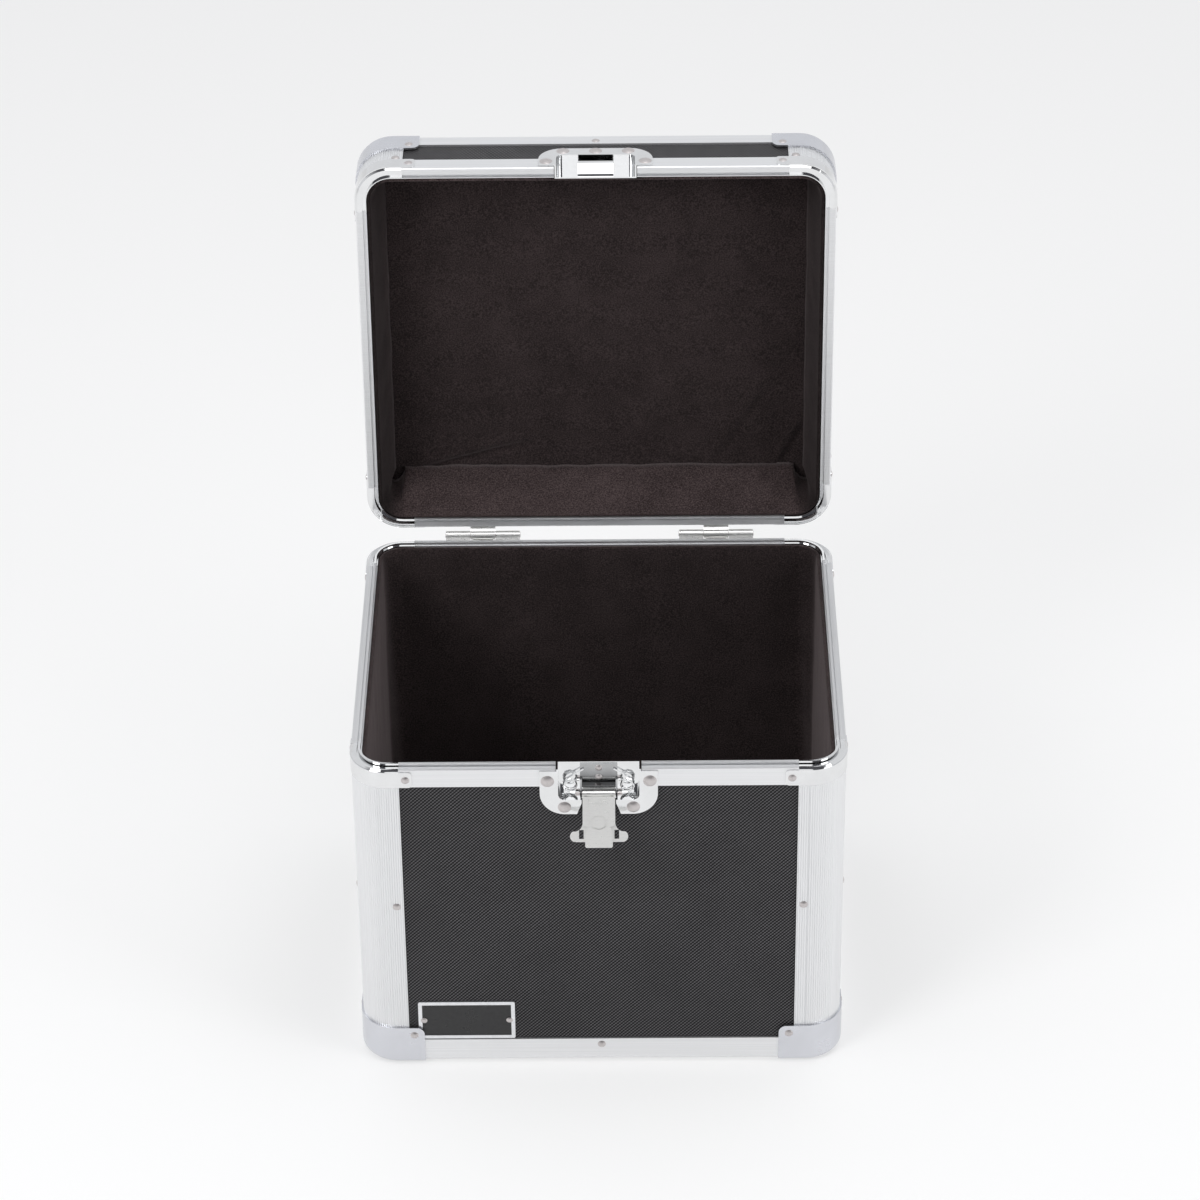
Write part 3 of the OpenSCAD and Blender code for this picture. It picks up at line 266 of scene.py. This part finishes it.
def plate_look(name, lo, hi):
    """Silver frame round a bare black field; lo and hi are the field's corners in x and z."""
    look = Look(name, (0.82, 0.83, 0.85), 0.3, 1.0)
    place = look.split()
    inside = None
    for axis, a, b in ((0, lo.x, hi.x), (2, lo.z, hi.z)):
        part = look.math(
            "MULTIPLY",
            look.math("GREATER_THAN", place[axis], a),
            look.math("LESS_THAN", place[axis], b),
        )
        inside = part if inside is None else look.math("MULTIPLY", inside, part)
    grain = look.spread(look.noise(300, 3), 0.0, 1.0)
    field = look.mix(grain, (0.012, 0.012, 0.013), (0.02, 0.02, 0.021))
    frame_color = look.mix(grain, (0.76, 0.77, 0.79), (0.84, 0.85, 0.87))
    look.color(look.mix(inside, frame_color, field))
    look.links.new(look.math("SUBTRACT", 1.0, inside), look.shader.inputs["Metallic"])
    look.roughness(look.spread(look.noise(60), 0.24, 0.38))
    look.bump(grain, 0.02 * MM, 0.3)
    return look.mat


SATIN = (0.86, 0.865, 0.875)
looks = {
    "laminate_front": laminate("laminate_front", 0, 2),
    "laminate_side": laminate("laminate_side", 1, 2),
    "laminate_level": laminate("laminate_level", 0, 1),
    "satin_x": metal("satin_x", SATIN, 0.46, 120, brushed=(0.05, 8, 8)),
    "satin_y": metal("satin_y", SATIN, 0.46, 120, brushed=(8, 0.05, 8)),
    "satin_z": metal("satin_z", SATIN, 0.44, 120, brushed=(8, 8, 0.05)),
    "cast": metal("cast", (0.70, 0.71, 0.75), 0.25, 45, smudge=0.06),
    "chrome": metal("chrome", (0.80, 0.805, 0.81), 0.08, 60, smudge=0.04, depth=0.006),
    "nickel": metal(
        "nickel", (0.80, 0.80, 0.785), 0.28, 260, smudge=0.015, brushed=(1, 5, 5), depth=0
    ),
    "zinc": metal("zinc", (0.62, 0.585, 0.58), 0.4, 320, smudge=0.08, depth=0.03),
    "velvet": velvet("velvet"),
    # Lid wall lining: lower wall brightened 1.75 times as painted light, side walls darkened to
    # 0.28 of that as painted shade.
    "velvet_wall_painted_light": velvet("velvet_wall_painted_light", 1.75, 0.28),
    "rubber": rubber("rubber"),
}

steel_lo, steel_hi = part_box("latch_base")
# The latch base plate gets painted shade that darkens towards its bend.
looks["base"] = steel_with_painted_shade("base", steel_lo.z + 3 * MM, steel_hi.z - 2 * MM)
plate_lo, plate_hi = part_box("name_plate")
rim = Vector((3 * MM, 0, 3 * MM))
looks["plate"] = plate_look("plate", plate_lo + rim, plate_hi - rim)


def wear(node, look):
    obj = nodes[node]
    obj.data.materials.clear()
    obj.data.materials.append(looks[look])


ALONG_Y = ("rim_left", "rim_right", "bottom_edge_left", "bottom_edge_right", "lid_posts")


def look_of(node):
    if node == "name_plate":
        return "plate"
    if node == "latch_base":
        return "base"
    if "rivets" in node or node in ("latch_rod", "hinge_pins"):
        return "zinc"
    if node in ("front_board", "back_board", "lid_top_board"):
        return "laminate_front"
    if node in ("bottom_board", "lid_front_board", "lid_back_board"):
        return "laminate_level"
    if node.endswith("board"):
        return "laminate_side"
    if "ball_corner" in node:
        return "cast"
    if any(word in node for word in ("rim_corner", "dish", "spring")):
        return "chrome"
    if node.startswith("latch") or "hinge" in node:
        return "nickel"
    if node in ("handle_brackets", "handle_arms"):
        return "chrome"
    if node == "handle_grip":
        return "rubber"
    if node.startswith("post"):
        return "satin_z"
    return "satin_y" if node in ALONG_Y else "satin_x"


for node in nodes:
    wear(node, look_of(node))


# Padded linings


# Depths of the padded band from the outer face of the case, and the radius of its top edge
WALL_FACE = 11.7 * MM
WALL_BACK = 8.75 * MM
WALL_EDGE = 1.4 * MM
PAD_INSET = 8.8 * MM


def mesh_object(name, points, faces, look):
    mesh = bpy.data.meshes.new(name)
    mesh.from_pydata(points, [], faces)
    mesh.update()
    obj = bpy.data.objects.new(name, mesh)
    bpy.context.scene.collection.objects.link(obj)
    mesh.materials.append(looks[look])
    for face in mesh.polygons:
        face.use_smooth = True
    return obj


def outline(inset, step):
    """Points and inward directions round the rounded rectangle of the case, inset from its face."""
    half_w, half_d = CASE_W / 2, CASE_D / 2
    radius = CORNER_R - inset
    points = []
    for quarter in range(4):
        turn = math.pi / 2 * quarter
        sx, sy = ((1, -1), (1, 1), (-1, 1), (-1, -1))[quarter]
        centre = Vector((sx * (half_w - CORNER_R), sy * (half_d - CORNER_R), 0))
        for k in range(13):
            a = turn - math.pi / 2 + math.pi / 2 * k / 12
            out = Vector((math.cos(a), math.sin(a), 0))
            points.append((centre + out * radius, -out, math.sin(math.pi * k / 12)))
    loop = []
    for i, (p, inward, corner) in enumerate(points):
        q = points[(i + 1) % len(points)][0]
        loop.append((p, inward, corner))
        count = int((q - p).length / step)
        for k in range(1, count):
            loop.append((p.lerp(q, k / count), inward, 0.0))
    return loop


def smooth(x):
    x = min(max(x, 0.0), 1.0)
    return x * x * (3 - 2 * x)


def ruffle(p, seed, size):
    return noise.noise(Vector((p.x / size + seed, p.y / size, p.z / size)))


def lining_wall(name, low, high, seed, notch, swell=(0, 0), look="velvet"):
    """The padded band round the walls: a closed ring with a rounded top edge and upright folds.

    notch is (half width, lowest z) of the latch pocket behind it, where the band is thin. swell is
    how many mm thicker the loose side walls and the hinge wall get towards the board."""
    rows = max(int((high - low) / (5 * MM)), 8)
    loop = outline(0.0, 4 * MM)
    heights = [low + (high - low - WALL_EDGE) * k / rows for k in range(rows + 1)]
    profile = [(z, 1.0, WALL_FACE) for z in heights]
    for k in range(1, 5):
        a = math.pi / 2 * k / 4
        z = high - WALL_EDGE * (1 - math.sin(a))
        profile.append((z, math.cos(a), WALL_FACE - 1.5 * MM * (1 - math.cos(a))))
    profile.append((high - 0.3 * MM, 0.0, WALL_BACK + 0.4 * MM))
    profile.append((high - 1.2 * MM, 0.0, WALL_BACK))
    profile += [(heights[k], 0.0, WALL_BACK) for k in range(rows, -1, -4)]
    points = []
    for p, inward, corner in loop:
        for z, puff, inset in profile:
            q = p + inward * inset
            q.z = z
            if inset <= WALL_BACK + 0.5 * MM and p.y < -CASE_D / 2 + 5 * MM:
                if abs(q.x) < notch[0] and z > notch[1]:
                    q += inward * 2.0 * MM
            if puff:
                edge = smooth((z - low) / (14 * MM)) * smooth((high - z) / (10 * MM))
                wave = 0.55 * ruffle(Vector((q.x, q.y, q.z * 0.35)), seed, 34 * MM)
                wave += 0.3 * ruffle(q, seed + 7, 15 * MM)
                fold = corner * (0.9 * math.sin(q.x / (3.1 * MM) + q.z / (60 * MM)) + 0.6)
                dent = -0.9 * corner * smooth(1 - (z - low) / (40 * MM))
                q += inward * MM * puff * (edge * (0.5 + wave + fold) + dent * 0.6)
                slope = min(max((high - 4 * MM - z) / (high - 4 * MM - low), 0.0), 1.0)
                loose = swell[0] * inward.x**2 + swell[1] * min(inward.y, 0.0) ** 2
                loose *= (1 - 0.85 * corner**2) * (1 + 0.12 * wave)
                q += inward * MM * puff * slope * loose
            points.append(q)
    n, m = len(loop), len(profile)
    faces = []
    for i in range(n):
        j = (i + 1) % n
        for k in range(m):
            l = (k + 1) % m
            faces.append((i * m + k, j * m + k, j * m + l, i * m + l))
    return mesh_object(name, points, faces, look)


def pull(x, y, line):
    """Height in mm of a drawn-in line of the cloth: a valley with a low ridge on its upper side.

    line is (x0, y0, x1, y1, depth) in mm, with y measured from the back edge of the pad."""
    x0, y0, x1, y1, depth = line
    run, rise = x1 - x0, y1 - y0
    length = math.hypot(run, rise)
    along = ((x - x0) * run + (y - y0) * rise) / length
    off = (run * (y - y0) - rise * (x - x0)) / length
    ends = smooth((along + 8) / 20) * smooth((length + 8 - along) / 26)
    ridge = 0.7 * math.exp(-(((off - 5) / 4.5) ** 2))
    valley = math.exp(-((off / 3.2) ** 2))
    return depth * ends * (ridge - valley)


def lining_pad(name, low, high, seed, slack, pulls=()):
    """A flat pad with a soft crown and shallow creases, filling the outline of the case."""
    cols, rows = 150, 128
    half_w = CASE_W / 2 - PAD_INSET
    half_d = CASE_D / 2 - PAD_INSET
    radius = CORNER_R - PAD_INSET
    points = []
    for level in (0, 1):
        for j in range(rows + 1):
            for i in range(cols + 1):
                x = -half_w + 2 * half_w * i / cols
                y = -half_d + 2 * half_d * j / rows
                dx, dy = abs(x) - (half_w - radius), abs(y) - (half_d - radius)
                if dx > 0 and dy > 0 and math.hypot(dx, dy) > radius:
                    k = radius / math.hypot(dx, dy)
                    x = math.copysign(half_w - radius + dx * k, x)
                    y = math.copysign(half_d - radius + dy * k, y)
                z = low
                if level:
                    wall = min(half_w - abs(x), half_d - abs(y)) - 3 * MM
                    crown = 0.5 * smooth(wall / (45 * MM)) - 0.35 * smooth(1 - wall / (4 * MM))
                    p = Vector((x, y, 0))
                    wave = slack * (ruffle(p, seed, 70 * MM) + 0.5 * ruffle(p, seed + 3, 26 * MM))
                    reach = math.hypot(half_w - abs(x), half_d - abs(y))
                    fan = math.sin((abs(x) - abs(y)) / (7 * MM) + 3 * wave)
                    crease = slack * smooth(1 - reach / (75 * MM)) * 0.8 * fan
                    drawn = sum(pull(x / MM, (half_d - y) / MM, line) for line in pulls)
                    z = high + MM * (crown + smooth(wall / (12 * MM)) * (wave + crease) + drawn)
                points.append(Vector((x, y, z)))
    w = cols + 1
    top = w * (rows + 1)
    faces = []
    for j in range(rows):
        for i in range(cols):
            a = j * w + i
            faces.append((a, a + w, a + w + 1, a + 1))
            faces.append((top + a, top + a + 1, top + a + w + 1, top + a + w))
    for i in range(cols):
        for a, b in ((i, i + 1), (rows * w + i + 1, rows * w + i)):
            faces.append((a, b, top + b, top + a))
    for j in range(rows):
        for a, b in (((j + 1) * w, j * w), (j * w + cols, (j + 1) * w + cols)):
            faces.append((a, b, top + b, top + a))
    return mesh_object(name, points, faces, "velvet")


def into_open_lid(obj, height):
    """Turns a piece made in the tray of the body over into the lid, and opens the lid."""
    flip = Matrix.Translation((0, 0, height)) @ Matrix.Scale(-1, 4, (0, 0, 1))
    swing = (
        Matrix.Translation(HINGE)
        @ Matrix.Rotation(-OPEN, 4, "X")
        @ Matrix.Translation(-HINGE)
    )
    obj.data.transform(swing @ flip)
    obj.data.flip_normals()
    obj.data.update()


wall_lo, wall_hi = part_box("body_lining")
pad_lo, pad_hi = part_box("floor_pad")
POCKET = 36.5 * MM
body_notch = (POCKET, wall_hi.z - 31 * MM)
lid_notch = (POCKET, LID_H - 25 * MM)
lid_wall_top = LID_H - 0.8 * MM
# Creases drawn in at the lower corners of the lid: x0, y0, x1, y1 and depth in mm
LID_PULLS = (
    (-160, 14, -52, 44, 2.2),
    (-135, 22, -68, 42, 1.4),
    (96, 24, 138, 92, 2.0),
    (146, 16, 172, 66, 2.2),
)

body_wall = lining_wall("body_lining_padded", wall_lo.z, wall_hi.z, 3.1, body_notch)
body_pad = lining_pad("floor_pad_padded", pad_lo.z, pad_hi.z, 5.7, 0.35)
lid_wall = lining_wall(
    "lid_lining_padded", wall_lo.z, lid_wall_top, 11.3, lid_notch, (9, 19), "velvet_wall_painted_light"
)
lid_pad = lining_pad("lid_top_pad_padded", pad_lo.z, pad_hi.z, 17.9, 0.6, LID_PULLS)
for piece in (lid_wall, lid_pad):
    into_open_lid(piece, HINGE.z + LID_H)

for piece, node, body in (
    (body_wall, "body_lining", "case"),
    (body_pad, "floor_pad", "case"),
    (lid_wall, "lid_lining", "lid"),
    (lid_pad, "lid_top_pad", "lid"),
):
    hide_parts(node)
    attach(piece, body)


# Floor, light and camera

# Direction in which the room behind the camera is dim
DIM_SIDE = Vector((0, -0.86, 0.51))
FLOOR_REACH = 30.0


def stage_floor():
    """A pale floor that is lifted towards white where the camera or a polished face sees it."""
    signs = ((-1, -1), (1, -1), (1, 1), (-1, 1))
    corners = [(x * FLOOR_REACH, y * FLOOR_REACH, 0) for x, y in signs]
    mesh = bpy.data.meshes.new("floor")
    mesh.from_pydata(corners, [], [(0, 1, 2, 3)])
    obj = bpy.data.objects.new("floor", mesh)
    bpy.context.scene.collection.objects.link(obj)
    look = Look("floor", (0.9, 0.9, 0.9), 0.9)
    look.shader.inputs["Specular IOR Level"].default_value = 0.0
    path = look.nodes.new("ShaderNodeLightPath")
    seen = look.math(
        "ADD", path.outputs["Is Camera Ray"], path.outputs["Is Glossy Ray"], clamp=True
    )
    lift = look.math("MULTIPLY", seen, 0.5)
    glow = look.nodes.new("ShaderNodeEmission")
    blend = look.nodes.new("ShaderNodeMixShader")
    look.links.new(lift, blend.inputs[0])
    look.links.new(look.shader.outputs[0], blend.inputs[1])
    look.links.new(glow.outputs[0], blend.inputs[2])
    look.links.new(blend.outputs[0], look.nodes["Material Output"].inputs["Surface"])
    mesh.materials.append(look.mat)


def studio_world():
    """White where the camera sees it. Everything else meets a room that is bright above and at the
    sides and dim behind the camera, which gives polished metal its dark lines."""
    world = bpy.data.worlds.new("studio")
    bpy.context.scene.world = world
    world.use_nodes = True
    tree = world.node_tree
    add, link = tree.nodes.new, tree.links.new
    room = tree.nodes["Background"]
    white = add("ShaderNodeBackground")
    blend = add("ShaderNodeMixShader")
    path = add("ShaderNodeLightPath")
    coord = add("ShaderNodeTexCoord")
    toward = add("ShaderNodeVectorMath")
    ramp = add("ShaderNodeValToRGB")
    toward.operation = "DOT_PRODUCT"
    link(coord.outputs["Generated"], toward.inputs[0])
    toward.inputs[1].default_value = DIM_SIDE
    link(toward.outputs["Value"], ramp.inputs["Fac"])
    ramp.color_ramp.elements[0].position = 0.42
    ramp.color_ramp.elements[0].color = (0.95, 0.96, 0.98, 1)
    ramp.color_ramp.elements[1].position = 0.72
    ramp.color_ramp.elements[1].color = (0.10, 0.10, 0.11, 1)
    link(ramp.outputs["Color"], room.inputs["Color"])
    room.inputs["Strength"].default_value = 0.85
    white.inputs["Color"].default_value = (1, 1, 1, 1)
    link(path.outputs["Is Camera Ray"], blend.inputs[0])
    link(room.outputs[0], blend.inputs[1])
    link(white.outputs[0], blend.inputs[2])
    link(blend.outputs[0], tree.nodes["World Output"].inputs["Surface"])


def lamp(name, place, target, size, power):
    """A rectangular area lamp that faces its target."""
    data = bpy.data.lights.new(name, "AREA")
    data.shape = "RECTANGLE"
    data.size, data.size_y = size
    data.energy = power
    obj = bpy.data.objects.new(name, data)
    bpy.context.scene.collection.objects.link(obj)
    obj.location = place
    obj.rotation_mode = "QUATERNION"
    obj.rotation_quaternion = (Vector(target) - Vector(place)).to_track_quat("-Z", "Y")


PICTURE_PX = 1200
FOCAL_PX = 4226.4
SENSOR = 36


def photo_camera():
    """The camera of the photograph, fitted to its corners: position, pitch, turn and roll."""
    place = Vector((1.22, -2743.8, 2126.6)) * MM
    pitch, turn, roll = (math.radians(a) for a in (33.232, 0.477, 0.654))
    right = Vector((1, 0, 0))
    up = Vector((0, math.sin(pitch), math.cos(pitch)))
    ahead = Vector((0, math.cos(pitch), -math.sin(pitch)))
    tilted_right = right * math.cos(roll) - up * math.sin(roll)
    tilted_up = right * math.sin(roll) + up * math.cos(roll)
    axes = Matrix((tilted_right, tilted_up, -ahead)).transposed().to_4x4()
    data = bpy.data.cameras.new("photo")
    data.sensor_width = SENSOR
    data.lens = SENSOR * FOCAL_PX / PICTURE_PX
    data.clip_start, data.clip_end = 0.05, 100
    obj = bpy.data.objects.new("photo", data)
    bpy.context.scene.collection.objects.link(obj)
    obj.matrix_world = Matrix.Rotation(turn, 4, "Z") @ Matrix.Translation(place) @ axes
    bpy.context.scene.camera = obj


stage_floor()
studio_world()
lamp("key", (-1.9, -1.9, 2.4), (0, 0, 0.25), (1.2, 1.6), 40)
lamp("fill", (2.4, -1.5, 1.6), (0, 0, 0.25), (1.2, 2.0), 22)
lamp("front", (0, -3.3, 2.55), (0, -0.15, 0.25), (1.3, 0.9), 5)
lamp("top", (0.2, -0.45, 3.0), (0, 0, 0.2), (2.2, 1.6), 24)
photo_camera()
bpy.context.scene.view_settings.view_transform = "Standard"
